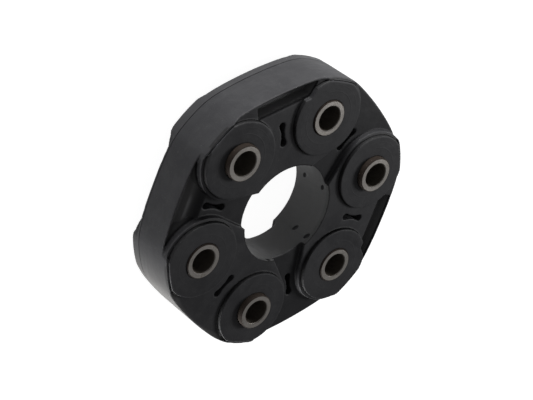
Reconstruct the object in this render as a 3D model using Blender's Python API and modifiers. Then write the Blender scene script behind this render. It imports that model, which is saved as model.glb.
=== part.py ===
"""Flexible coupling disc of a driveshaft.

A six-cornered rubber disc with steel bolt sleeves on one bolt circle. Cord
loops inside the rubber tie neighbouring sleeves together: a stacked pair of
loops across every thick gap, and one loop across every thin gap between them.
Flat collars near both ends of each sleeve hold the loops in their place. The
disc lies flat, its axis is Z, and the origin is its centre. Sleeve a lies on
+X, and the letters run clockwise as seen from above.
"""

import math

import bmesh
import bpy
from mathutils import Matrix, Vector

# Bolt circle and sleeves
PAIRS = 3
BOLT_CIRCLE = 0.100
SLEEVE_RADIUS = 0.00895
SLEEVE_BORE = 0.00605
SLEEVE_LENGTH = 0.0320
SLEEVE_SHIFT = 0.0011
SLEEVE_CHAMFER = 0.0005

# Rubber: thicknesses are measured from the middle plane
BOSS_RADIUS = 0.0192
BOSS_HALF = 0.0142
THICK_HALF = 0.0124
THIN_HALF = 0.0097
THIN_MOUTH = 0.0178
THIN_OVERLAP = 0.0025
COLLAR_STEP = 0.0016
SIDE_COVER = 0.0233
SIDE_BOW = 0.190
BLEND = 0.0005
LEDGE_WIDTH = 0.0012
LEDGE_DROP = 0.0008
LIP_WIDTH = 0.0009
LIP_TURN = math.radians(10.3)
CENTRE_BORE = 0.0248

# Slots through the gaps
SLOT_LENGTH = 0.0130
SLOT_SHIFT = 0.0014
SLOT_NECK = 0.0019
SLOT_END = 0.0034

# Pockets in the front face, near the rim: points of their inner side and floor, each as its
# distance out from the line between two sleeves and its depth under the face
POCKET_SIDE = ((0.0148, 0.0), (0.0153, 0.0007), (0.0158, 0.0020), (0.0160, 0.0064))
POCKET_ENDS = (-0.0130, 0.0165)
POCKET_LIP = 0.0009
WEDGE_SIDE = ((0.0086, 0.0), (0.0112, 0.0033), (0.0143, 0.0037), (0.0160, 0.0062))
WEDGE_ENDS = (-0.0210, 0.0210)
WEDGE_LAND = 0.0002

# Cord loops and collars inside the rubber
GAP = 0.0003
CORD_OUTER = 0.0126
THIN_CORD_HALF = 0.0044
CORD_SPACING = 0.0018
COLLAR_RADIUS = 0.0145
COLLAR_COVER = 0.0021
COLLAR_THICKNESS = 0.0010

# Which gaps have a pocket, counted clockwise from the one between sleeves a and b
POCKET_GAPS = (1, 5)
WEDGE_GAPS = (4,)

# Facets
SLEEVE_FACETS = 32
FACETS = 20
BOSS_FACETS = 36
BORE_FACETS = 72
WALL_STEPS = 16
LIP_STEPS = 4
SLOT_STEPS = 4
WELD = 1e-6

SLEEVES = 2 * PAIRS
TURN = 2 * math.pi / SLEEVES
PITCH = BOLT_CIRCLE / 2
SLEEVE_LINE = PITCH * math.cos(TURN / 2)
CORNER = PITCH + BOSS_RADIUS
SIDE = SLEEVE_LINE + SIDE_COVER
BEYOND = CORNER + BOSS_RADIUS
OVERSHOOT = SLEEVE_LENGTH
HOLE = SLEEVE_RADIUS + GAP
COLLAR_TOP = BOSS_HALF - COLLAR_COVER
COLLAR_UNDER = COLLAR_TOP - COLLAR_THICKNESS
THICK_CORD_LOW = THIN_CORD_HALF + CORD_SPACING
THICK_CORD_TOP = COLLAR_UNDER - GAP

MATERIALS = {
    "rubber": ((0.030, 0.031, 0.033, 1), 0.62, 0.0),
    "steel": ((0.42, 0.39, 0.36, 1), 0.38, 1.0),
    "cord": ((0.36, 0.33, 0.26, 1), 0.85, 0.0),
    "collar": ((0.12, 0.12, 0.13, 1), 0.50, 0.0),
}


def clear_scene():
    for obj in list(bpy.data.objects):
        bpy.data.objects.remove(obj)


def new_collection(name):
    group = bpy.data.collections.new(name)
    bpy.context.scene.collection.children.link(group)
    return group


def make_material(name):
    """A Principled material of one colour, roughness and metallic value."""
    colour, roughness, metallic = MATERIALS[name]
    material = bpy.data.materials.new(name)
    material.use_nodes = True
    shader = material.node_tree.nodes["Principled BSDF"]
    shader.inputs["Base Color"].default_value = colour
    shader.inputs["Roughness"].default_value = roughness
    shader.inputs["Metallic"].default_value = metallic
    return material


def letter(index):
    return chr(ord("a") + index % SLEEVES)


def sleeve_angle(index):
    return -index * TURN


def gap_angle(index):
    """The direction of the middle of the gap between this sleeve and the next."""
    return -(index + 0.5) * TURN


def polar(radius, angle):
    return Vector((radius * math.cos(angle), radius * math.sin(angle)))


def sleeve_place(index):
    return polar(PITCH, sleeve_angle(index))


def arc(centre, radius, start, end, steps):
    """Points along an arc, both ends included."""
    return [centre + polar(radius, start + (end - start) * i / steps) for i in range(steps + 1)]


def ring(radius, steps):
    return [polar(radius, 2 * math.pi * i / steps) for i in range(steps)]


def circle_height(radius, across):
    """Height of a circle of this radius above its centre, at a distance across, or 0 outside it."""
    return math.sqrt(max(radius**2 - across**2, 0))


def wall_radius(angle):
    """Distance of the outer wall from the axis in a direction: the lesser of the corner's and the
    bowed side's, with a soft change from one to the other."""
    off = (angle - gap_angle(0) + TURN / 2) % TURN - TURN / 2
    centre = SIDE - SIDE_BOW
    side = centre * math.cos(off) + circle_height(SIDE_BOW, centre * math.sin(off))
    nearer, farther = sorted((CORNER, side))
    return nearer - BLEND * math.log1p(math.exp((nearer - farther) / BLEND))


def wall_outline(inset=0.0):
    """The rounded hexagon of the outer wall, or one that lies inside it."""
    angles = [step * TURN / WALL_STEPS for step in range(SLEEVES * WALL_STEPS)]
    return [polar(wall_radius(angle) - inset, angle) for angle in angles]


def in_gap(angle, outward, across):
    """A point given by its distance out along a gap's middle line and its distance clockwise of it."""
    return polar(outward, angle) + polar(across, angle - math.pi / 2)


def tidy(mesh):
    """Closes a shape's seams and turns its faces outwards."""
    shape = bmesh.new()
    shape.from_mesh(mesh)
    bmesh.ops.remove_doubles(shape, verts=shape.verts, dist=WELD)
    bmesh.ops.recalc_face_normals(shape, faces=shape.faces)
    shape.to_mesh(mesh)
    shape.free()


def plate(name, loops, low, high, group):
    """A flat plate between two heights, from its outline and the outlines of its holes."""
    curve = bpy.data.curves.new(name, "CURVE")
    curve.dimensions = "2D"
    curve.fill_mode = "BOTH"
    curve.extrude = (high - low) / 2
    for loop in loops:
        spline = curve.splines.new("POLY")
        spline.points.add(len(loop) - 1)
        for point, place in zip(spline.points, loop):
            point.co = (place.x, place.y, 0, 1)
        spline.use_cyclic_u = True
    guide = bpy.data.objects.new(name + "_guide", curve)
    guide.location.z = (low + high) / 2
    group.objects.link(guide)
    bpy.context.view_layer.update()
    graph = bpy.context.evaluated_depsgraph_get()
    mesh = bpy.data.meshes.new_from_object(guide.evaluated_get(graph))
    mesh.name = name
    tidy(mesh)
    obj = bpy.data.objects.new(name, mesh)
    obj.matrix_world = guide.matrix_world
    group.objects.link(obj)
    bpy.data.objects.remove(guide)
    bpy.data.curves.remove(curve)
    return obj


def turned(name, profile, place, group, facets=FACETS):
    """A solid of revolution about a vertical axis, from a profile of (radius, height). A profile
    with both ends on the axis stays open there, and any other is closed."""
    mesh = bpy.data.meshes.new(name)
    shape = bmesh.new()
    points = [shape.verts.new((radius, 0, height)) for radius, height in profile]
    on_axis = profile[0][0] == profile[-1][0] == 0
    ends = points[1:] if on_axis else points[1:] + points[:1]
    for first, second in zip(points, ends):
        shape.edges.new((first, second))
    shape.to_mesh(mesh)
    shape.free()
    obj = bpy.data.objects.new(name, mesh)
    obj.location = (place.x, place.y, 0)
    group.objects.link(obj)
    screw = obj.modifiers.new("Turn", "SCREW")
    screw.steps = facets
    screw.render_steps = facets
    screw.use_merge_vertices = True
    screw.merge_threshold = WELD
    screw.use_smooth_shade = False
    return obj


def tube(name, inner, outer, low, high, place, group, facets=FACETS):
    """A ring of square section. Its profile runs down the outer side."""
    profile = [(outer, high), (outer, low), (inner, low), (inner, high)]
    return turned(name, profile, place, group, facets)


def drum(name, radius, low, high, place, group, facets):
    """A plain round cutter."""
    mesh = bpy.data.meshes.new(name)
    shape = bmesh.new()
    bmesh.ops.create_cone(
        shape,
        cap_ends=True,
        segments=facets,
        radius1=radius,
        radius2=radius,
        depth=high - low,
    )
    shape.to_mesh(mesh)
    shape.free()
    obj = bpy.data.objects.new(name, mesh)
    obj.location = (place.x, place.y, (low + high) / 2)
    group.objects.link(obj)
    return obj


def cut(body, cutter):
    """Cuts one closed solid from another. The many flat faces at equal heights here leave open
    edges with the exact solver, so this is the manifold one."""
    cutter.hide_render = True
    cutter.display_type = "WIRE"
    modifier = body.modifiers.new(cutter.name, "BOOLEAN")
    modifier.operation = "DIFFERENCE"
    modifier.solver = "MANIFOLD"
    modifier.object = cutter


def belt(index, radius):
    """The outline of a belt of this radius round a sleeve and the next one."""
    first = sleeve_place(index)
    second = sleeve_place(index + 1)
    facing = (second - first).to_2d()
    ahead = math.atan2(facing.y, facing.x)
    quarter = math.pi / 2
    start = arc(first, radius, ahead + quarter, ahead + 3 * quarter, FACETS // 2)
    return start + arc(second, radius, ahead - quarter, ahead + quarter, FACETS // 2)


def slot_outline(index):
    """A narrow slot on the gap's middle line, with a thin neck and wider round ends."""
    angle = gap_angle(index)
    middle = SLEEVE_LINE + SLOT_SHIFT
    end = SLOT_END / 2
    reach = SLOT_LENGTH / 2 - end
    points = []
    for way in (1, -1):
        for step in range(SLOT_STEPS + 1):
            turn = math.pi * step / SLOT_STEPS
            outward = reach + end * math.sin(turn)
            points.append(in_gap(angle, middle + way * outward, way * end * math.cos(turn)))
        points.append(in_gap(angle, middle, -way * SLOT_NECK / 2))
    return points


def thin_gap_outline(index):
    """Where the rubber is thinner: the area between the collars round two sleeves. From each
    collar a straight line that touches it runs to the centre bore."""
    angle = gap_angle(index)
    collar = BOSS_RADIUS + COLLAR_STEP
    mouth = math.asin(THIN_MOUTH / 2 / CENTRE_BORE)
    chains = []
    for side in (1, -1):
        outward = angle + side * TURN / 2
        sleeve = polar(PITCH, outward)
        edge = polar(CENTRE_BORE, angle + side * mouth)
        away = sleeve - edge
        lean = math.asin(min(collar / away.length, 1))
        run = polar(circle_height(away.length, collar), math.atan2(away.y, away.x) - side * lean)
        touch = edge + run - sleeve
        turn = (math.atan2(touch.y, touch.x) - outward + math.pi) % (2 * math.pi) - math.pi
        bend = arc(sleeve, collar, outward + turn, outward, BOSS_FACETS // 2)
        inside = polar(CENTRE_BORE - THIN_OVERLAP, angle + side * mouth)
        chains.append([inside] + bend + [polar(BEYOND, outward)])
    return chains[0] + chains[1][::-1]


def trough(name, index, side, face, ends, group):
    """The space of a pocket along the rim: its section is drawn flat and extruded, then stood up
    in the gap. Outside it ends short of the outer wall."""
    section = [Vector((SLEEVE_LINE + out, face - depth)) for out, depth in side]
    first, last = section[0], section[-1]
    section.insert(0, Vector((first.x, OVERSHOOT)))
    section += [Vector((BEYOND, last.y)), Vector((BEYOND, OVERSHOOT))]
    space = plate(name, [section], *ends, group)
    stand = Matrix.Rotation(math.pi / 2, 4, "X")
    space.matrix_world = Matrix.Rotation(gap_angle(index), 4, "Z") @ stand @ space.matrix_world
    beyond = [ring(2 * BEYOND, BOSS_FACETS), wall_outline(POCKET_LIP)]
    cut(space, plate(name + "_lip", beyond, -OVERSHOOT, 2 * OVERSHOOT, group))
    return space


def seat_profile():
    """The space for a sleeve and its two collars inside the rubber."""
    wide = COLLAR_RADIUS + GAP
    upper = [
        (HOLE, OVERSHOOT),
        (HOLE, COLLAR_TOP + GAP),
        (wide, COLLAR_TOP + GAP),
        (wide, COLLAR_UNDER - GAP),
        (HOLE, COLLAR_UNDER - GAP),
    ]
    lower = [(radius, -height) for radius, height in reversed(upper)]
    return [(0, OVERSHOOT)] + upper + lower + [(0, -OVERSHOOT)]


def corner_outline(index):
    """The area outside a boss, along the rim of its corner."""
    low, high = sleeve_angle(index) - LIP_TURN, sleeve_angle(index) + LIP_TURN
    rim = arc(Vector((0, 0)), CORNER - LIP_WIDTH, low, high, LIP_STEPS)
    return rim + [polar(2 * BEYOND, high), polar(2 * BEYOND, low)]


def step_bosses(body, group, way):
    """Lowers the face outside the round bosses, down to a narrow lip along the rim at each corner
    and further down elsewhere."""
    side = "front" if way > 0 else "back"
    levels = plate(
        f"cut_{side}_face",
        [ring(BEYOND, BOSS_FACETS)],
        *sorted((way * THICK_HALF, way * OVERSHOOT)),
        group,
    )
    for index in range(SLEEVES):
        name = f"keep_{side}_boss_{letter(index)}"
        cut(levels, drum(name, BOSS_RADIUS, -BEYOND, BEYOND, sleeve_place(index), group, BOSS_FACETS))
        name = f"keep_{side}_lip_{letter(index)}"
        cut(levels, plate(name, [corner_outline(index)], -BEYOND, BEYOND, group))
    cut(body, levels)
    ledge = plate(
        f"cut_{side}_ledge",
        [ring(BEYOND, BORE_FACETS), ring(CORNER - LEDGE_WIDTH, BORE_FACETS)],
        *sorted((way * (BOSS_HALF - LEDGE_DROP), way * OVERSHOOT)),
        group,
    )
    cut(body, ledge)
    for index in range(0, SLEEVES, 2):
        name = f"cut_{side}_thin_{letter(index)}"
        heights = sorted((way * THIN_HALF, way * OVERSHOOT))
        cut(body, plate(name, [thin_gap_outline(index)], *heights, group))


def cut_pockets(body, group):
    """Two straight pockets in thick gaps, and a wedge-shaped one between the collars of a thin
    gap."""
    for index in POCKET_GAPS:
        name = f"cut_pocket_{letter(index)}"
        cut(body, trough(name, index, POCKET_SIDE, THICK_HALF, POCKET_ENDS, group))
    for index in WEDGE_GAPS:
        name = f"cut_wedge_{letter(index)}"
        wedge = trough(name, index, WEDGE_SIDE, THIN_HALF, WEDGE_ENDS, group)
        for sleeve in (index, index + 1):
            keep = f"keep_{name}_{letter(sleeve)}"
            radius = BOSS_RADIUS + COLLAR_STEP + WEDGE_LAND
            cut(wedge, drum(keep, radius, -BEYOND, BEYOND, sleeve_place(sleeve), group, BOSS_FACETS))
        cut(body, wedge)


def cord_levels(index):
    """Heights of the loops across this gap: one in the middle, or one above and one below."""
    if index % 2 == 0:
        return {"": (-THIN_CORD_HALF, THIN_CORD_HALF)}
    return {
        "_front": (THICK_CORD_LOW, THICK_CORD_TOP),
        "_back": (-THICK_CORD_TOP, -THICK_CORD_LOW),
    }


def make_rubber(group, cutters):
    body = plate("rubber_body", [wall_outline()], -BOSS_HALF, BOSS_HALF, group)
    for way in (1, -1):
        step_bosses(body, cutters, way)
    cut_pockets(body, cutters)
    middle = Vector((0, 0))
    cut(body, drum("cut_bore", CENTRE_BORE, -OVERSHOOT, OVERSHOOT, middle, cutters, BORE_FACETS))
    for index in range(SLEEVES):
        name = letter(index)
        cut(body, plate(f"cut_slot_{name}", [slot_outline(index)], -OVERSHOOT, OVERSHOOT, cutters))
        cut(body, turned(f"cut_seat_{name}", seat_profile(), sleeve_place(index), cutters))
        for side, (low, high) in cord_levels(index).items():
            channel = [belt(index, CORD_OUTER + GAP), belt(index, HOLE - GAP)]
            cut(body, plate(f"cut_cord_{name}{side}", channel, low - GAP, high + GAP, cutters))
    return body


def make_sleeves(group):
    chamfer = SLEEVE_CHAMFER
    half = SLEEVE_LENGTH / 2
    profile = [
        (SLEEVE_RADIUS - chamfer, half),
        (SLEEVE_RADIUS, half - chamfer),
        (SLEEVE_RADIUS, chamfer - half),
        (SLEEVE_RADIUS - chamfer, -half),
        (SLEEVE_BORE, -half),
        (SLEEVE_BORE, half),
    ]
    sleeves = []
    for index in range(SLEEVES):
        name = f"steel_sleeve_{letter(index)}"
        sleeve = turned(name, profile, sleeve_place(index), group, SLEEVE_FACETS)
        sleeve.location.z = SLEEVE_SHIFT if index % 2 else -SLEEVE_SHIFT
        sleeves.append(sleeve)
    return sleeves


def make_cords(group):
    cords = []
    for index in range(SLEEVES):
        pair = letter(index) + letter(index + 1)
        for side, (low, high) in cord_levels(index).items():
            loops = [belt(index, CORD_OUTER), belt(index, HOLE)]
            cords.append(plate(f"cord_loop_{pair}{side}", loops, low, high, group))
    return cords


def make_collars(group):
    collars = []
    for index in range(SLEEVES):
        for side, low in (("front", COLLAR_UNDER), ("back", -COLLAR_TOP)):
            name = f"collar_{letter(index)}_{side}"
            size = (HOLE, COLLAR_RADIUS, low, low + COLLAR_THICKNESS)
            collars.append(tube(name, *size, sleeve_place(index), group))
    return collars


def main():
    clear_scene()
    disc = new_collection("flex_disc")
    cutters = new_collection("cutters")
    pieces = {
        "rubber": [make_rubber(disc, cutters)],
        "steel": make_sleeves(disc),
        "cord": make_cords(disc),
        "collar": make_collars(disc),
    }
    for name, objects in pieces.items():
        material = make_material(name)
        for obj in objects:
            obj.data.materials.append(material)


main()
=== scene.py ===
"""A flexible coupling disc of a driveshaft: moulded rubber, turned steel bolt sleeves, wound cord
loops and flat collars, on a pale floor in soft light.

The rubber is modelled as one block, which is cut to its levels, slots and pockets and then
rounded all over, as a mould leaves it. The seats for the steel and the cord are cut last.
"""

import math

import bmesh
import bpy
from mathutils import Euler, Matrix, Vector


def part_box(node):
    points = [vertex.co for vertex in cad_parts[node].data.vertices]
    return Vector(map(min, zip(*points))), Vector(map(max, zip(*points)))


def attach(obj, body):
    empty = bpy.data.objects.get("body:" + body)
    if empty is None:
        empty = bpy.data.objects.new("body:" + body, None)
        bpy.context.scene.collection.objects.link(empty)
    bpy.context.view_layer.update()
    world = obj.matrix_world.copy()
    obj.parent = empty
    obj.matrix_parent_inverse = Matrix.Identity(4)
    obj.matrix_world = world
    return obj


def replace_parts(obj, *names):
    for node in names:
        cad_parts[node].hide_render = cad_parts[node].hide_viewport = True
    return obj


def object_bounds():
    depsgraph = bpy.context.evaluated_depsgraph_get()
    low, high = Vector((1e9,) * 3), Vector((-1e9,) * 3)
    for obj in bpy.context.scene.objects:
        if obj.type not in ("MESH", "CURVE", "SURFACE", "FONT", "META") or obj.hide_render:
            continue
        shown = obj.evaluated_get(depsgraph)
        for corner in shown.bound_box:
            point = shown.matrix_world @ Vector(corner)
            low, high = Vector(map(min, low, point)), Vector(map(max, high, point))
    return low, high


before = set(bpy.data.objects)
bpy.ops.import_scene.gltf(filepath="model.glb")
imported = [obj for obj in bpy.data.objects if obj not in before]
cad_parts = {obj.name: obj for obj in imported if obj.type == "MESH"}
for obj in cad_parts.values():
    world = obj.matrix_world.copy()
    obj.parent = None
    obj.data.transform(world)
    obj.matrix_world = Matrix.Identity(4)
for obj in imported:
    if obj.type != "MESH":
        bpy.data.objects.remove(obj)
cad_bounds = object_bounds()

# Sizes that the solids give, in metres
LETTERS = "abcdef"
BODY_LOW, BODY_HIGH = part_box("rubber_body")
SLEEVE_BOXES = {letter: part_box(f"steel_sleeve_{letter}") for letter in LETTERS}
PLACES = {letter: (low + high) / 2 for letter, (low, high) in SLEEVE_BOXES.items()}
SLEEVE_RADIUS = (SLEEVE_BOXES["a"][1].x - SLEEVE_BOXES["a"][0].x) / 2
SLEEVE_HALF = (SLEEVE_BOXES["a"][1].z - SLEEVE_BOXES["a"][0].z) / 2
PITCH = PLACES["a"].to_2d().length
CORNER = BODY_HIGH.x
SIDE = BODY_HIGH.y
BOSS_HALF = BODY_HIGH.z
FLOOR = cad_bounds[0].z
TURN = 2 * math.pi / len(LETTERS)
SLEEVE_LINE = PITCH * math.cos(TURN / 2)

# Rubber: each HALF is a height above the middle plane, and each DROP or DEPTH says how far a step
# or a groove is cut in
BOSS_RADIUS = CORNER - PITCH
THICK_HALF = 0.0124
THIN_HALF = 0.0097
THIN_MOUTH = 0.0222
COLLAR_STEP = 0.0016
SIDE_BOW = 0.190
BLEND = 0.0005
CENTRE_BORE = 0.0248
GAP_START = 0.9 * CENTRE_BORE
LEDGE_WIDTH = 0.0012
LEDGE_DROP = 0.0008
GROOVE_WIDTH = 0.00040
GROOVE_DEPTH = 0.0009
FOOT_WIDTH = 0.00035
FOOT_DEPTH = 0.0004
MOULD_RINGS = (0.0132, 0.0163)
PARTING = -0.0083
PARTING_WIDTH = 0.00034
PARTING_DEPTH = 0.0004

# The low lip along each corner's rim: its width, half its angle, how far out its ends are sloped,
# and where the slopes start and end, across from the corner's middle
LIP_WIDTH = 0.0009
LIP_TURN = math.radians(10.3)
LIP_START = 0.0669
LIP_SLOPE = (0.0084, 0.0128)

# The slots: SHIFT is how far out of the line between two sleeves they lie, and NECK_SHARE how much
# of their length the thin neck takes
SLOT_LENGTH = 0.0130
SLOT_SHIFT = 0.0014
SLOT_NECK = 0.0019
SLOT_NECK_SHARE = 0.35
SLOT_END = 0.0034

# Pockets in the front face: points of their inner side and floor, each as its distance out from
# the line between two sleeves and its depth under the face. The points of the slanted end lie out
# along the gap's middle line and clockwise of it.
POCKET_SIDE = ((0.0146, 0.0), (0.0151, 0.0005), (0.0156, 0.0016), (0.0160, 0.0064))
POCKET_ENDS = (-0.0130, 0.0240)
POCKET_SLANT = ((0.0560, 0.0140), (0.0670, 0.0243), (0.0670, 0.0400), (0.0560, 0.0400))
POCKET_LIP = 0.0009
POCKET_ROUND = 0.0012
POCKET_GAPS = (1, 5)
WEDGE_SIDE = ((0.0086, 0.0), (0.0112, 0.0033), (0.0143, 0.0037), (0.0160, 0.0062))
WEDGE_ENDS = (-0.0210, 0.0210)
WEDGE_LAND = 0.0002
WEDGE_GAP = 4

# Small dents that the mould left in the wall of the hole: direction in degrees, height and size,
# then how far inside the hole their middles lie, how flat they are and how far they lean
DENTS = ((-60, 0.0076, 0.0036), (-60, -0.0057, 0.0036), (-120, 0.0098, 0.0036),
         (-120, 0.0012, 0.0036), (180, 0.0115, 0.0030))
DENT_INSIDE = 0.82
DENT_FLATNESS = 0.6
DENT_LEAN = 0.5

# How finely the rubber is rounded, and how many triangles are kept of it
GRAIN = 0.00036
SOFTENING = 3
RUBBER_TRIANGLES = 150_000

# Distances from the disc's axis over which painted light turns the floors of the pockets paler
WEDGE_LIGHT = (0.0525, 0.0590)
POCKET_LIGHT = (0.0565, 0.0575)

# Directions, in radians, over which the outer wall takes a painted highlight, and the painted light
# on the wall of the hole turns paler and then darker again
WALL_HIGHLIGHT = (1.95, 2.45)
HOLE_LIGHT_RISE = (-2.6, -0.9)
HOLE_LIGHT_FALL = (0.0, 1.0)

# How many sides the round shapes have
WALL_SIDES = 360
HOLE_SIDES = 240
BOSS_SIDES = 144
SLEEVE_SIDES = 96
CUTTER_SIDES = 64
COLLAR_SIDES = 48

# Steel
SLEEVE_BORE = 0.00605
OUTER_CHAMFER = 0.00035
INNER_CHAMFER = 0.00045
SEAT_GAP = 0.00012
SEAT_DEPTH = 0.0020
INNER_GAP = 0.00025

# Waves per metre, in radians, of the lathe's lines on the steel and the turns of the cord
LATHE_LINES = 26000
CORD_TURNS = 9000

# Camera of the photograph: place in metres, turn in degrees and lens in millimetres
CAMERA_PLACE = (0.22465, 0.53981, 0.49367)
CAMERA_TURN = (-35.0533, -37.7464, -63.7745)
LENS = 110.09

# The floor's brightness and the grey that takes the shadow, and the strength of the surround
FLOOR_GLOW = 0.93
FLOOR_SHADE = 0.30
SURROUND = 0.24

# Lengths that reach past the part, across it and along its axis
BEYOND = 2 * CORNER
OVERSHOOT = 2 * SLEEVE_HALF


def only(obj):
    """Selects this object alone and makes it the active one."""
    bpy.ops.object.select_all(action="DESELECT")
    obj.select_set(True)
    bpy.context.view_layer.objects.active = obj


def edit(obj, elements):
    """Opens the object in edit mode with nothing selected."""
    only(obj)
    bpy.ops.object.mode_set(mode="EDIT")
    bpy.ops.mesh.select_mode(type=elements)
    bpy.ops.mesh.select_all(action="DESELECT")


def done():
    """Leaves edit mode."""
    bpy.ops.object.mode_set(mode="OBJECT")


def pick(obj, kind, test):
    """Selects the faces or edges that pass a test, in edit mode, and nothing else."""
    bpy.ops.mesh.select_all(action="DESELECT")
    shape = bmesh.from_edit_mesh(obj.data)
    for element in getattr(shape, kind):
        if test(element):
            element.select_set(True)
    bmesh.update_edit_mesh(obj.data)


def apply(obj, kind, **settings):
    """Adds a modifier with these settings and applies it."""
    only(obj)
    modifier = obj.modifiers.new(kind.title(), kind)
    for name, value in settings.items():
        setattr(modifier, name, value)
    bpy.ops.object.modifier_apply(modifier=modifier.name)


def combine(obj, other, operation="DIFFERENCE"):
    """Cuts the other solid from this one, or joins or crosses them, and removes the other."""
    apply(obj, "BOOLEAN", operation=operation, solver="MANIFOLD", object=other)
    bpy.data.objects.remove(other)


def gather(pieces):
    """Joins solids into the first of them."""
    whole, *others = pieces
    for other in others:
        combine(whole, other, "UNION")
    return whole


def settle(obj):
    """Moves the object's place and turn into its mesh."""
    only(obj)
    bpy.ops.object.transform_apply(location=True, rotation=True, scale=True)


def polar(radius, angle):
    """A flat point by its distance from the disc's axis and its direction."""
    return Vector((radius * math.cos(angle), radius * math.sin(angle)))


def gap_angle(index):
    """The direction of the middle of a gap, counted clockwise from the one between a and b."""
    return -(index + 0.5) * TURN


def in_gap(index, outward, across):
    """A point by its distance out along a gap's middle line and its distance clockwise of it."""
    angle = gap_angle(index)
    return polar(outward, angle) + polar(across, angle - math.pi / 2)


def circle_height(radius, across):
    """Height of a circle of this radius above its centre, at a distance across, or 0 outside it."""
    return math.sqrt(max(radius**2 - across**2, 0))


def wall_radius(angle):
    """Distance of the outer wall from the axis in a direction: the lesser of the corner's and the
    bowed side's, with a soft change from one to the other."""
    off = (angle - gap_angle(0) + TURN / 2) % TURN - TURN / 2
    centre = SIDE - SIDE_BOW
    side = centre * math.cos(off) + circle_height(SIDE_BOW, centre * math.sin(off))
    nearer, farther = sorted((CORNER, side))
    return nearer - BLEND * math.log1p(math.exp((nearer - farther) / BLEND))


def wall_outline(inset=0.0):
    """The rounded hexagon of the outer wall, or one that lies inside or outside it."""
    angles = [2 * math.pi * step / WALL_SIDES for step in range(WALL_SIDES)]
    return [polar(wall_radius(angle) - inset, angle) for angle in angles]


def corner_strip(index, inner, outer):
    """Part of a ring between two radii, along the rim of one corner."""
    turns = [LIP_TURN * (step / 6 - 1) - index * TURN for step in range(13)]
    return [polar(inner, turn) for turn in turns] + [polar(outer, turn) for turn in turns[::-1]]


def round_block(name, radius, low, high, place=(0, 0), sides=BOSS_SIDES):
    """An upright cylinder between two heights."""
    bpy.ops.mesh.primitive_cylinder_add(
        vertices=sides,
        radius=radius,
        depth=high - low,
        location=(place[0], place[1], (low + high) / 2),
    )
    obj = bpy.context.object
    obj.name = name
    settle(obj)
    return obj


def plate(name, outline, low, high):
    """A flat plate: a filled circle whose points are moved to the outline, then extruded."""
    bpy.ops.mesh.primitive_circle_add(vertices=len(outline), radius=1, fill_type="NGON")
    obj = bpy.context.object
    obj.name = name
    for vertex, place in zip(obj.data.vertices, outline):
        vertex.co = (place[0], place[1], low)
    bpy.ops.object.mode_set(mode="EDIT")
    bpy.ops.mesh.select_all(action="SELECT")
    rise = {"value": (0, 0, high - low)}
    bpy.ops.mesh.extrude_region_move(TRANSFORM_OT_translate=rise)
    bpy.ops.mesh.select_all(action="SELECT")
    bpy.ops.mesh.normals_make_consistent(inside=False)
    done()
    return obj


def thin_gap_block(index, low, high):
    """The space over a thin web: it widens from the bore to the collars of two sleeves."""
    collar = BOSS_RADIUS + COLLAR_STEP
    mouth = math.asin(THIN_MOUTH / 2 / CENTRE_BORE)
    sides = []
    for way in (1, -1):
        outward = gap_angle(index) + way * TURN / 2
        sleeve = polar(PITCH, outward)
        edge = polar(CENTRE_BORE, gap_angle(index) + way * mouth)
        inside = polar(GAP_START, gap_angle(index) + way * mouth)
        away = sleeve - edge
        lean = math.asin(min(collar / away.length, 1))
        run = circle_height(away.length, collar)
        touch = edge + polar(run, math.atan2(away.y, away.x) - way * lean)
        sides.append([inside, touch, sleeve, polar(BEYOND, outward)])
    block = plate("thin_gap", sides[0] + sides[1][::-1], low, high)
    for way in (1, -1):
        sleeve = polar(PITCH, gap_angle(index) + way * TURN / 2)
        combine(block, round_block("collar", collar, -OVERSHOOT, OVERSHOOT, sleeve))
    return block


def lower_faces(body):
    """Steps both faces down to a low lip along each corner's rim, further down round the bosses,
    and further still over the thin webs."""
    for way in (1, -1):
        low, high = sorted((way * THICK_HALF, way * OVERSHOOT))
        step = round_block("step", BEYOND, low, high, sides=CUTTER_SIDES)
        for index, letter in enumerate(LETTERS):
            boss = round_block("boss", BOSS_RADIUS, -BEYOND, BEYOND, PLACES[letter])
            combine(step, boss)
            lip = corner_strip(index, CORNER - LIP_WIDTH, 2 * BEYOND)
            combine(step, plate("lip", lip, -BEYOND, BEYOND))
        combine(body, step)
        low, high = sorted((way * (BOSS_HALF - LEDGE_DROP), way * OVERSHOOT))
        ledge = round_block("ledge", BEYOND, low, high, sides=CUTTER_SIDES)
        inner = CORNER - LEDGE_WIDTH
        combine(ledge, round_block("inner", inner, -BEYOND, BEYOND, sides=HOLE_SIDES))
        combine(body, ledge)
        low, high = sorted((way * THIN_HALF, way * OVERSHOOT))
        for index in range(0, len(LETTERS), 2):
            combine(body, thin_gap_block(index, low, high))


def slope_lips(body):
    """Slopes both ends of each corner's lip down to the webs."""
    lip = BOSS_HALF - LEDGE_DROP
    near, far = LIP_SLOPE
    for index in range(len(LETTERS)):
        for way in (1, -1):
            section = [(-far, THICK_HALF), (-near, lip), (-near, OVERSHOOT), (-far, OVERSHOOT)]
            for side in (1, -1):
                outline = [(side * along, way * height) for along, height in section]
                space = plate("slope", outline, LIP_START, BEYOND)
                space.rotation_euler = (math.pi / 2, 0, math.pi / 2 - index * TURN)
                settle(space)
                combine(body, space)


def slot_outline(index):
    """A narrow slot on the gap's middle line, with a thin neck and wider round ends."""
    middle = SLEEVE_LINE + SLOT_SHIFT
    end = SLOT_END / 2
    reach = SLOT_LENGTH / 2 - end
    points = []
    for way in (1, -1):
        for step in range(9):
            turn = math.pi * step / 8
            outward = reach + end * math.sin(turn)
            points.append(in_gap(index, middle + way * outward, way * end * math.cos(turn)))
        for along in (SLOT_NECK_SHARE, -SLOT_NECK_SHARE):
            points.append(in_gap(index, middle + way * along * reach, -way * SLOT_NECK / 2))
    return points


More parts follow.
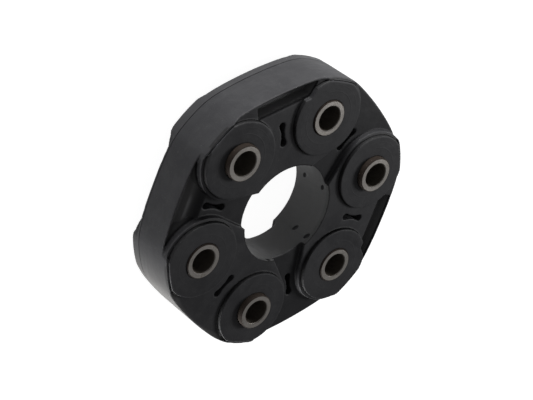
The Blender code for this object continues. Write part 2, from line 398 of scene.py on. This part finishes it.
def trough(index, side, face, ends):
    """The space of a pocket along the rim. Its section is drawn flat, extruded and rounded at its
    ends, then stood up in the gap, and it stops short of the outer wall."""
    section = [Vector((SLEEVE_LINE + out, face - depth)) for out, depth in side]
    first, last = section[0], section[-1]
    section.insert(0, Vector((first.x, OVERSHOOT)))
    section += [Vector((BEYOND, last.y)), Vector((BEYOND, OVERSHOOT))]
    space = plate("trough", section, *ends)
    edit(space, "EDGE")
    pick(space, "edges", lambda edge: is_trough_end(edge, ends))
    bpy.ops.mesh.bevel(offset=POCKET_ROUND, segments=4, affect="EDGES")
    done()
    space.rotation_euler = (math.pi / 2, 0, gap_angle(index))
    settle(space)
    inside = plate("inside", wall_outline(POCKET_LIP), -OVERSHOOT, OVERSHOOT / 2)
    combine(space, inside, "INTERSECT")
    return space


def is_trough_end(edge, ends):
    """Whether an edge runs along the inner side or the floor of a trough at one of its ends."""
    places = [vertex.co for vertex in edge.verts]
    at_end = any(all(abs(place.z - end) < 1e-6 for place in places) for end in ends)
    nearest = min(place.x for place in places)
    lowest = min(place.y for place in places)
    return at_end and nearest < BEYOND / 2 and lowest < OVERSHOOT / 2


def cut_openings(body):
    """Cuts the slots, the pockets in the front face and the hole in the middle."""
    for index in range(len(LETTERS)):
        combine(body, plate("slot", slot_outline(index), -OVERSHOOT, OVERSHOOT))
    for index in POCKET_GAPS:
        pocket = trough(index, POCKET_SIDE, THICK_HALF, POCKET_ENDS)
        slant = [in_gap(index, outward, across) for outward, across in POCKET_SLANT]
        combine(pocket, plate("slant", slant, -OVERSHOOT, 2 * OVERSHOOT))
        combine(body, pocket)
    wedge = trough(WEDGE_GAP, WEDGE_SIDE, THIN_HALF, WEDGE_ENDS)
    for letter in LETTERS[WEDGE_GAP:]:
        radius = BOSS_RADIUS + COLLAR_STEP + WEDGE_LAND
        combine(wedge, round_block("collar", radius, -BEYOND, BEYOND, PLACES[letter]))
    combine(body, wedge)
    combine(body, round_block("bore", CENTRE_BORE, -OVERSHOOT, OVERSHOOT, sides=HOLE_SIDES))


def soften(body):
    """Rounds every edge a little, as moulded rubber is, and thins out the flat areas."""
    apply(body, "REMESH", mode="VOXEL", voxel_size=GRAIN, adaptivity=0)
    apply(body, "SMOOTH", factor=0.5, iterations=SOFTENING)
    share = RUBBER_TRIANGLES / (2 * len(body.data.polygons))
    apply(body, "DECIMATE", decimate_type="COLLAPSE", ratio=min(share, 1))


def belt(first, second, radius):
    """The outline of a belt of this radius round two sleeves."""
    facing = (PLACES[second] - PLACES[first]).to_2d()
    ahead = math.atan2(facing.y, facing.x)
    points = []
    for letter, start in ((first, ahead + math.pi / 2), (second, ahead - math.pi / 2)):
        centre = PLACES[letter].to_2d()
        points += [centre + polar(radius, start + math.pi * step / 24) for step in range(25)]
    return points


def sleeve_seats(letter):
    """The room for one sleeve, with a wider mouth at each end, and for its two collars."""
    place = PLACES[letter]
    hole = SLEEVE_RADIUS + SEAT_GAP
    pieces = [round_block("hole", hole, -OVERSHOOT, OVERSHOOT, place, SLEEVE_SIDES)]
    for way in (1, -1):
        low, high = sorted((way * (BOSS_HALF - SEAT_DEPTH), way * OVERSHOOT))
        pieces.append(round_block("mouth", hole + SEAT_GAP, low, high, place, SLEEVE_SIDES))
    for side in ("front", "back"):
        low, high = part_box(f"collar_{letter}_{side}")
        radius = (high.x - low.x) / 2 + INNER_GAP
        top, bottom = high.z + INNER_GAP, low.z - INNER_GAP
        pieces.append(round_block("seat", radius, bottom, top, place, COLLAR_SIDES))
    return pieces


def cord_channel(name):
    """The room for one cord loop, open in the middle as the loop is."""
    first, second = name.split("_")[2]
    low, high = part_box(name)
    centre = (PLACES[first] + PLACES[second]) / 2
    reach = max(high.x - centre.x, high.y - centre.y)
    facing = (PLACES[second] - PLACES[first]).to_2d() / 2
    radius = reach - max(abs(facing.x), abs(facing.y))
    outer = belt(first, second, radius + INNER_GAP)
    channel = plate("channel", outer, low.z - INNER_GAP, high.z + INNER_GAP)
    combine(channel, plate("core", belt(first, second, SLEEVE_RADIUS), -OVERSHOOT, OVERSHOOT))
    return channel


def seats():
    """The room for the sleeves, the collars and the cord loops inside the rubber."""
    pieces = [piece for letter in LETTERS for piece in sleeve_seats(letter)]
    loops = [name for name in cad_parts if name.startswith("cord_loop")]
    return pieces + [cord_channel(name) for name in loops]


def foot_groove(letter, way):
    """A narrow groove round the foot of one boss, that ends short of the corner's lip."""
    place = PLACES[letter]
    foot = THICK_HALF - FOOT_DEPTH
    low, high = sorted((way * foot, way * OVERSHOOT))
    ring = round_block("foot", BOSS_RADIUS + FOOT_WIDTH, low, high, place)
    combine(ring, round_block("inner", BOSS_RADIUS, -BEYOND, BEYOND, place))
    inside = CORNER - LEDGE_WIDTH - GROOVE_WIDTH / 2
    combine(ring, round_block("inside", inside, -BEYOND, BEYOND, sides=HOLE_SIDES), "INTERSECT")
    return ring


def grooves():
    """Narrow grooves: round the foot of each boss, between the boss and the lip at its corner, and
    round the outer wall where the halves of the mould met."""
    half = PARTING_WIDTH / 2
    parting = plate("parting", wall_outline(-PARTING_DEPTH), PARTING - half, PARTING + half)
    combine(parting, plate("inside", wall_outline(PARTING_DEPTH), -OVERSHOOT, OVERSHOOT))
    pieces = [parting]
    inner = CORNER - LEDGE_WIDTH
    for way in (1, -1):
        low, high = sorted((way * (BOSS_HALF - LEDGE_DROP - GROOVE_DEPTH), way * OVERSHOOT))
        for index, letter in enumerate(LETTERS):
            strip = corner_strip(index, inner, inner + GROOVE_WIDTH)
            pieces.append(plate("groove", strip, low, high))
            pieces.append(foot_groove(letter, way))
    return pieces


def dents():
    """Half-round dents in the wall of the hole in the middle."""
    pieces = []
    for degrees, height, size in DENTS:
        bpy.ops.mesh.primitive_uv_sphere_add(segments=24, ring_count=16, radius=size)
        dent = bpy.context.object
        dent.scale.z = DENT_FLATNESS
        place = polar(CENTRE_BORE - DENT_INSIDE * size, math.radians(degrees))
        dent.location = (place.x, place.y, height)
        dent.rotation_euler = (DENT_LEAN, 0, math.radians(degrees))
        settle(dent)
        pieces.append(dent)
    return pieces


def smooth(obj, angle):
    only(obj)
    bpy.ops.object.shade_smooth_by_angle(angle=math.radians(angle))


def make_rubber():
    body = plate("rubber_disc", wall_outline(), -BOSS_HALF, BOSS_HALF)
    lower_faces(body)
    slope_lips(body)
    cut_openings(body)
    soften(body)
    combine(body, gather(grooves() + dents()))
    combine(body, gather(seats()))
    smooth(body, 35)
    return body


def make_sleeve():
    """A turned tube, chamfered at both ends, about the vertical axis."""
    sleeve = round_block("sleeve", SLEEVE_RADIUS, -SLEEVE_HALF, SLEEVE_HALF, sides=SLEEVE_SIDES)
    edit(sleeve, "FACE")
    pick(sleeve, "faces", lambda face: abs(face.normal.z) > 0.5)
    bpy.ops.mesh.inset(thickness=SLEEVE_RADIUS - SLEEVE_BORE, depth=0)
    bpy.ops.mesh.delete(type="ONLY_FACE")
    bpy.ops.mesh.select_mode(type="EDGE")
    pick(sleeve, "edges", lambda edge: edge.is_boundary)
    bpy.ops.mesh.bridge_edge_loops()
    for radius, width in ((SLEEVE_RADIUS, OUTER_CHAMFER), (SLEEVE_BORE, INNER_CHAMFER)):
        pick(sleeve, "edges", lambda edge, radius=radius: is_end(edge, radius))
        bpy.ops.mesh.bevel(offset=width, segments=1, affect="EDGES")
    bpy.ops.mesh.select_all(action="SELECT")
    bpy.ops.mesh.normals_make_consistent(inside=False)
    done()
    smooth(sleeve, 25)
    return sleeve


def is_end(edge, radius):
    """Whether an edge is part of the ring of this radius at one of the tube's ends."""
    return all(
        abs(abs(vertex.co.z) - SLEEVE_HALF) < 1e-5
        and abs(vertex.co.to_2d().length - radius) < 1e-4
        for vertex in edge.verts
    )


def make_sleeves():
    """One sleeve for each bolt, each turned a little differently."""
    model = make_sleeve()
    sleeves = {}
    for index, letter in enumerate(LETTERS):
        sleeve = model.copy()
        sleeve.data = model.data.copy()
        sleeve.name = f"turned_sleeve_{letter}"
        bpy.context.scene.collection.objects.link(sleeve)
        sleeve.location = PLACES[letter]
        sleeve.rotation_euler.z = index
        settle(sleeve)
        sleeves[letter] = sleeve
    bpy.data.objects.remove(model)
    return sleeves


class Wire:
    """One output of a node. Arithmetic on it adds Math nodes."""

    def __init__(self, finish, socket):
        self.finish = finish
        self.socket = socket

    def __add__(self, other):
        return self.finish.maths("ADD", self, other)

    def __sub__(self, other):
        return self.finish.maths("SUBTRACT", self, other)

    def __rsub__(self, other):
        return self.finish.maths("SUBTRACT", other, self)

    def __mul__(self, other):
        return self.finish.maths("MULTIPLY", self, other)

    def __truediv__(self, other):
        return self.finish.maths("DIVIDE", self, other)

    def __pow__(self, other):
        return self.finish.maths("POWER", self, other)

    def __abs__(self):
        return self.finish.maths("ABSOLUTE", self)

    __radd__ = __add__
    __rmul__ = __mul__

    def at_least(self, other):
        return self.finish.maths("MAXIMUM", self, other)

    def rise(self, start, end):
        """0 up to start, 1 past end and a smooth rise between, or a fall if end is the lower."""
        low, high = min(start, end), max(start, end)
        inputs = {"Value": self, "From Min": low, "From Max": high}
        inputs.update({"To Min": float(start > end), "To Max": float(start < end)})
        return self.finish.node("ShaderNodeMapRange", {"interpolation_type": "SMOOTHSTEP"}, inputs)


class Finish:
    """A material, with short ways to add the nodes that it is made of."""

    def __init__(self, name, **inputs):
        self.material = bpy.data.materials.new(name)
        self.material.use_nodes = True
        self.tree = self.material.node_tree
        self.shader = self.tree.nodes["Principled BSDF"]
        self.set(**inputs)
        self.place = self.node("ShaderNodeTexCoord", output="Object")

    def put(self, socket, value):
        if isinstance(value, Wire):
            self.tree.links.new(value.socket, socket)
        else:
            socket.default_value = value

    def node(self, kind, settings=None, inputs=None, output=0):
        """Adds a node, sets it up, then gives its inputs their values or links."""
        made = self.tree.nodes.new(kind)
        for name, value in (settings or {}).items():
            setattr(made, name, value)
        for name, value in (inputs or {}).items():
            self.put(made.inputs[name], value)
        return Wire(self, made.outputs[output])

    def maths(self, operation, *values):
        """Adds a Math node on wires and numbers."""
        return self.node("ShaderNodeMath", {"operation": operation}, dict(enumerate(values)))

    def set(self, **inputs):
        """Sets the shader's inputs, named in small letters with underscores."""
        for name, value in inputs.items():
            socket = name.replace("_", " ").title().replace("Ior", "IOR")
            self.put(self.shader.inputs[socket], value)

    def axes(self):
        parts = self.node("ShaderNodeSeparateXYZ", None, {0: self.place})
        return [Wire(self, output) for output in parts.socket.node.outputs]

    def noise(self, scale, detail=4, roughness=0.55, distortion=0, place=None):
        inputs = {"Vector": place or self.place, "Scale": scale, "Detail": detail}
        inputs.update({"Roughness": roughness, "Distortion": distortion})
        return self.node("ShaderNodeTexNoise", None, inputs)

    def stretched(self, x, y, z):
        """The place, squeezed along each axis."""
        return self.node("ShaderNodeMapping", None, {"Vector": self.place, "Scale": (x, y, z)})

    def blend(self, share, first, second):
        """Goes from the first colour to the second as the share goes from 0 to 1."""
        inputs = {0: share, 6: first, 7: second}
        return self.node("ShaderNodeMix", {"data_type": "RGBA"}, inputs, output=2)

    def bump(self, height, depth, under=None):
        """A bump of this depth in metres, on top of another bump if one is given."""
        inputs = {"Height": height, "Strength": 1.0, "Distance": depth}
        if under:
            inputs["Normal"] = under
        return self.node("ShaderNodeBump", None, inputs)


def round_axis(finish):
    """Distance from the disc's axis, direction from it, and height."""
    x, y, height = finish.axes()
    return (x * x + y * y) ** 0.5, finish.maths("ARCTAN2", y, x), height


def sleeve_distance(finish):
    """Distance from the axis of the nearest sleeve."""
    radius, angle, _height = round_axis(finish)
    off = finish.maths("WRAP", angle, TURN / 2, -TURN / 2)
    along = radius * finish.maths("COSINE", off) - PITCH
    across = radius * finish.maths("SINE", off)
    return (along * along + across * across) ** 0.5


def painted_web_shade_and_light(finish):
    """Two shares from 0 to 1, both only inside the outer wall: painted shade, dark rubber on the
    thin webs and at the brinks of the flat pockets, and painted light, pale rubber on the pockets'
    floors."""
    radius, angle, height = round_axis(finish)
    off = finish.maths("WRAP", angle, 0.0, -TURN) - gap_angle(0)
    across = radius * finish.maths("SINE", off)
    outward = radius * finish.maths("COSINE", off) + across * across / (2 * SIDE_BOW)
    within = outward.rise(SIDE - 0.0007, SIDE - 0.0009) * abs(across).rise(0.0232, 0.0224)
    thin = finish.maths("COSINE", 3 * angle + math.pi / 2).rise(-0.2, 0.2)
    pocketed = (1 - thin) * angle.rise(1.6, 1.5) * within
    # painted shade: the thin webs darker than the faces of the bosses
    low_web = thin * within * radius.rise(CENTRE_BORE + 0.0004, CENTRE_BORE + 0.0008)
    low_web *= height.rise(THIN_HALF + 0.0024, THIN_HALF + 0.0008)
    pocket_edge = SLEEVE_LINE + POCKET_SIDE[0][0]
    # painted shade along the flat web at the brinks of the pockets
    beside = pocketed * outward.rise(pocket_edge - 0.0003, pocket_edge)
    beside *= height.rise(BOSS_HALF - 0.0001, BOSS_HALF - 0.0004)
    beside *= height.rise(THICK_HALF - 0.0010, THICK_HALF - 0.0004)
    # painted light: the floors of the wedge and of the pockets paler than the rubber
    wedge = thin * within * radius.rise(*WEDGE_LIGHT)
    wedge *= height.rise(THIN_HALF - 0.0005, THIN_HALF - 0.0025)
    pocket = pocketed * radius.rise(*POCKET_LIGHT)
    pocket *= height.rise(THICK_HALF - 0.0006, THICK_HALF - 0.0016)
    above_middle = height.rise(0.0, 0.001)
    return (low_web * 0.55).at_least(beside * 0.25), wedge.at_least(pocket) * above_middle


def painted_crease_shade(finish, distance):
    """A share from 0 to 1 of painted shade, dark lines along the feet of the bosses and round the
    brink of the hole.
    """
    radius, _angle, height = round_axis(finish)
    foot = abs(distance - (BOSS_RADIUS + 0.0002)).rise(0.0006, 0.0003)
    foot *= height.rise(THICK_HALF - 0.0011, THICK_HALF - 0.0004)
    foot *= height.rise(BOSS_HALF + 0.0001, BOSS_HALF - 0.0002)
    brink = abs(radius - (CENTRE_BORE + 0.0004)).rise(0.0005, 0.0002)
    brink *= height.rise(THIN_HALF + 0.0003, THIN_HALF + 0.0015)
    return foot.at_least(brink)


def rubber_finish():
    """Moulded black rubber: a satin charcoal with grey bloom, fine grain and faint mould rings. The
    thin webs, the pockets' brinks and the feet of the bosses have painted shade, the pockets'
    floors and the wall of the hole have painted light, and one corner of the outer wall has a
    painted highlight."""
    finish = Finish("moulded_rubber", specular_ior_level=0.18)
    radius, angle, height = round_axis(finish)
    distance = sleeve_distance(finish)
    shaded, painted_recess_light = painted_web_shade_and_light(finish)
    crease_shade = painted_crease_shade(finish, distance)
    # painted light on the wall of the hole: paler towards one side, then darker again
    hole_light_turn = angle.rise(*HOLE_LIGHT_RISE) * (1 - angle.rise(*HOLE_LIGHT_FALL))
    hole_wall = radius.rise(CENTRE_BORE + 0.00025, CENTRE_BORE + 0.00010)
    # painted highlight on one corner of the outer wall
    painted_highlight = radius.rise(CORNER - 0.0042, CORNER - 0.0027) * angle.rise(*WALL_HIGHLIGHT)
    painted_highlight *= height.rise(THICK_HALF + 0.0008, THICK_HALF - 0.0014)
    clouds = finish.noise(45, 3, 0.5).rise(0.35, 0.70)
    patches = finish.noise(160, 5, 0.6, 0.6).rise(0.40, 0.75)
    grain = finish.noise(2400, 2, 0.5)
    specks = finish.noise(1400, 1, 0.4).rise(0.70, 0.78)
    streaks = finish.noise(60, 4, 0.6, 0, finish.stretched(1, 1, 7)).rise(0.45, 0.75)
    charcoal = finish.blend(clouds, (0.018, 0.018, 0.020, 1), (0.026, 0.026, 0.028, 1))
    bloomed = finish.blend(patches * 0.35, charcoal, (0.040, 0.040, 0.042, 1))
    dusty = finish.blend(specks * 0.35, bloomed, (0.070, 0.068, 0.065, 1))
    strip = height.rise(PARTING, PARTING - 0.0006) * 0.25
    banded = finish.blend(strip, dusty, (0.050, 0.050, 0.052, 1))
    # painted shade on the thin webs and at the pockets' brinks
    with_web_shade = finish.blend(shaded, banded, (0.004, 0.004, 0.005, 1))
    # painted light on the floors of the wedge and of the pockets
    with_recess_light = finish.blend(painted_recess_light * 0.8, with_web_shade, (0.120, 0.120, 0.122, 1))
    painted_bore_light = hole_wall * (0.55 + 0.45 * hole_light_turn)
    # painted light on the wall of the hole
    with_bore_light = finish.blend(painted_bore_light, with_recess_light, (0.210, 0.211, 0.212, 1))
    # painted shade in the creases at the bosses' feet and round the hole's brink
    with_crease_shade = finish.blend(crease_shade * 0.65, with_bore_light, (0.002, 0.002, 0.002, 1))
    finish.set(
        base_color=finish.blend(painted_highlight * 0.6, with_crease_shade, (0.150, 0.146, 0.140, 1)),
        roughness=0.52 + 0.10 * clouds - 0.10 * streaks + 0.05 * grain,
    )
    inner = abs(distance - MOULD_RINGS[0]).rise(0.0004, 0.0)
    outer = abs(distance - MOULD_RINGS[1]).rise(0.0003, 0.0)
    coarse = finish.bump(finish.noise(220, 3, 0.5), 0.00016)
    rings = finish.bump(inner + 0.6 * outer, 0.00003, coarse)
    finish.set(normal=finish.bump(grain, 0.000012, rings))
    return finish.material


def steel_finish():
    """Turned steel: lathe lines on the ends, brown stains, a dark outside and a dark bore."""
    finish = Finish("turned_steel", specular_ior_level=0.1)
    distance = sleeve_distance(finish)
    clouds = finish.noise(260, 4, 0.6).rise(0.35, 0.72)
    stains = finish.noise(900, 4, 0.65, 0.4).rise(0.56, 0.74)
    lathe = finish.maths("SINE", distance * LATHE_LINES)
    bore = distance.rise(SLEEVE_BORE + 0.0003, SLEEVE_BORE + 0.0001)
    ragged = distance + 0.0003 * finish.noise(1500, 3, 0.6)
    outside = ragged.rise(SLEEVE_RADIUS - 0.00045, SLEEVE_RADIUS - 0.0002)
    clean = finish.blend(clouds, (0.30, 0.283, 0.265, 1), (0.22, 0.207, 0.192, 1))
    stained = finish.blend(stains * 0.6, clean, (0.10, 0.075, 0.055, 1))
    side = finish.blend(outside, stained, (0.020, 0.015, 0.012, 1))
    finish.set(
        base_color=finish.blend(bore, side, (0.060, 0.052, 0.043, 1)),
        roughness=0.42 + 0.12 * clouds + 0.15 * bore + 0.25 * outside,
        metallic=1.0 - 0.6 * bore - 0.8 * outside,
        normal=finish.bump(lathe, 0.000006, finish.bump(finish.noise(1500, 3), 0.00002)),
    )
    return finish.material


def cord_finish():
    """Cord wound in many turns: fine ridges round the loop, in a dull straw colour."""
    finish = Finish("wound_cord", specular_ior_level=0.3)
    _x, _y, height = finish.axes()
    ridges = finish.maths("SINE", height * CORD_TURNS)
    fibres = finish.noise(1800, 3, 0.6)
    finish.set(
        base_color=finish.blend(fibres, (0.42, 0.37, 0.27, 1), (0.30, 0.26, 0.19, 1)),
        roughness=0.80 + 0.10 * fibres,
        normal=finish.bump(ridges, 0.0001),
    )
    return finish.material


def collar_finish():
    """Moulded black plastic with a fine grain."""
    finish = Finish("collar_plastic")
    grain = finish.noise(1600, 3, 0.5)
    finish.set(
        base_color=finish.blend(grain, (0.10, 0.10, 0.11, 1), (0.14, 0.14, 0.15, 1)),
        roughness=0.45 + 0.15 * grain,
        normal=finish.bump(grain, 0.00002),
    )
    return finish.material


def dress(obj, material):
    obj.data.materials.clear()
    obj.data.materials.append(material)


def dress_hidden_nodes():
    """The cord loops and the collars keep their solids, with finishes of their own."""
    finishes = {"cord": cord_finish(), "collar": collar_finish()}
    for name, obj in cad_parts.items():
        kind = name.split("_")[0]
        if kind in finishes:
            dress(obj, finishes[kind])


def make_floor():
    """A wide pale floor. The camera and mirrors see it almost white, with a faint shadow."""
    bpy.ops.mesh.primitive_circle_add(vertices=96, radius=4, fill_type="NGON")
    floor = bpy.context.object
    floor.name = "floor"
    floor.location.z = FLOOR
    settle(floor)
    material = bpy.data.materials.new("pale_floor")
    material.use_nodes = True
    tree = material.node_tree
    plain = tree.nodes["Principled BSDF"]
    plain.inputs["Base Color"].default_value = (0.80, 0.80, 0.80, 1)
    plain.inputs["Roughness"].default_value = 0.9
    plain.inputs["Specular IOR Level"].default_value = 0.0
    seen = seen_share(tree)
    bright = tree.nodes.new("ShaderNodeEmission")
    bright.inputs["Strength"].default_value = FLOOR_GLOW
    shaded = tree.nodes.new("ShaderNodeBsdfDiffuse")
    shaded.inputs["Color"].default_value = (FLOOR_SHADE, FLOOR_SHADE, FLOOR_SHADE, 1)
    sum_up = tree.nodes.new("ShaderNodeAddShader")
    tree.links.new(bright.outputs[0], sum_up.inputs[0])
    tree.links.new(shaded.outputs[0], sum_up.inputs[1])
    mix = tree.nodes.new("ShaderNodeMixShader")
    tree.links.new(seen, mix.inputs[0])
    tree.links.new(plain.outputs[0], mix.inputs[1])
    tree.links.new(sum_up.outputs[0], mix.inputs[2])
    tree.links.new(mix.outputs[0], tree.nodes["Material Output"].inputs["Surface"])
    dress(floor, material)


def seen_share(tree):
    """1 for rays of the camera and for those seen in gloss or glass, and 0 for lighting."""
    rays = tree.nodes.new("ShaderNodeLightPath")
    total = rays.outputs["Is Camera Ray"]
    for name in ("Is Glossy Ray", "Is Transmission Ray"):
        highest = tree.nodes.new("ShaderNodeMath")
        highest.operation = "MAXIMUM"
        tree.links.new(total, highest.inputs[0])
        tree.links.new(rays.outputs[name], highest.inputs[1])
        total = highest.outputs[0]
    return total


def make_world():
    """A pale surround."""
    world = bpy.data.worlds.new("pale_surround")
    bpy.context.scene.world = world
    world.use_nodes = True
    background = world.node_tree.nodes["Background"]
    background.inputs["Color"].default_value = (1.0, 1.0, 1.0, 1)
    background.inputs["Strength"].default_value = SURROUND


def area_lamp(name, place, width, height, power):
    """A white lamp of this size in metres and power in watts that faces the middle of the disc."""
    lamp = bpy.data.lights.new(name, "AREA")
    lamp.shape = "RECTANGLE"
    lamp.size = width
    lamp.size_y = height
    lamp.energy = power
    obj = bpy.data.objects.new(name, lamp)
    obj.location = place
    obj.rotation_euler = (-Vector(place)).to_track_quat("-Z", "Y").to_euler()
    bpy.context.scene.collection.objects.link(obj)


def make_lamps():
    area_lamp("key", (0.70, 0.16, 0.01), 0.50, 0.05, 8.2)
    area_lamp("side", (-0.48, 0.09, 0.00), 0.30, 0.03, 4.5)
    area_lamp("back", (0.22, -0.52, 0.43), 0.22, 0.22, 3.1)


def make_camera():
    data = bpy.data.cameras.new("camera")
    data.lens = LENS
    data.clip_start = 0.01
    data.clip_end = 20
    camera = bpy.data.objects.new("camera", data)
    camera.location = CAMERA_PLACE
    camera.rotation_euler = Euler([math.radians(angle) for angle in CAMERA_TURN])
    bpy.context.scene.collection.objects.link(camera)
    bpy.context.scene.camera = camera


def main():
    bpy.context.scene.view_settings.view_transform = "Standard"
    make_camera()
    make_world()
    make_lamps()
    make_floor()
    rubber = make_rubber()
    dress(rubber, rubber_finish())
    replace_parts(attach(rubber, "root"), "rubber_body")
    steel = steel_finish()
    for letter, sleeve in make_sleeves().items():
        dress(sleeve, steel)
        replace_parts(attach(sleeve, "root"), f"steel_sleeve_{letter}")
    dress_hidden_nodes()


main()
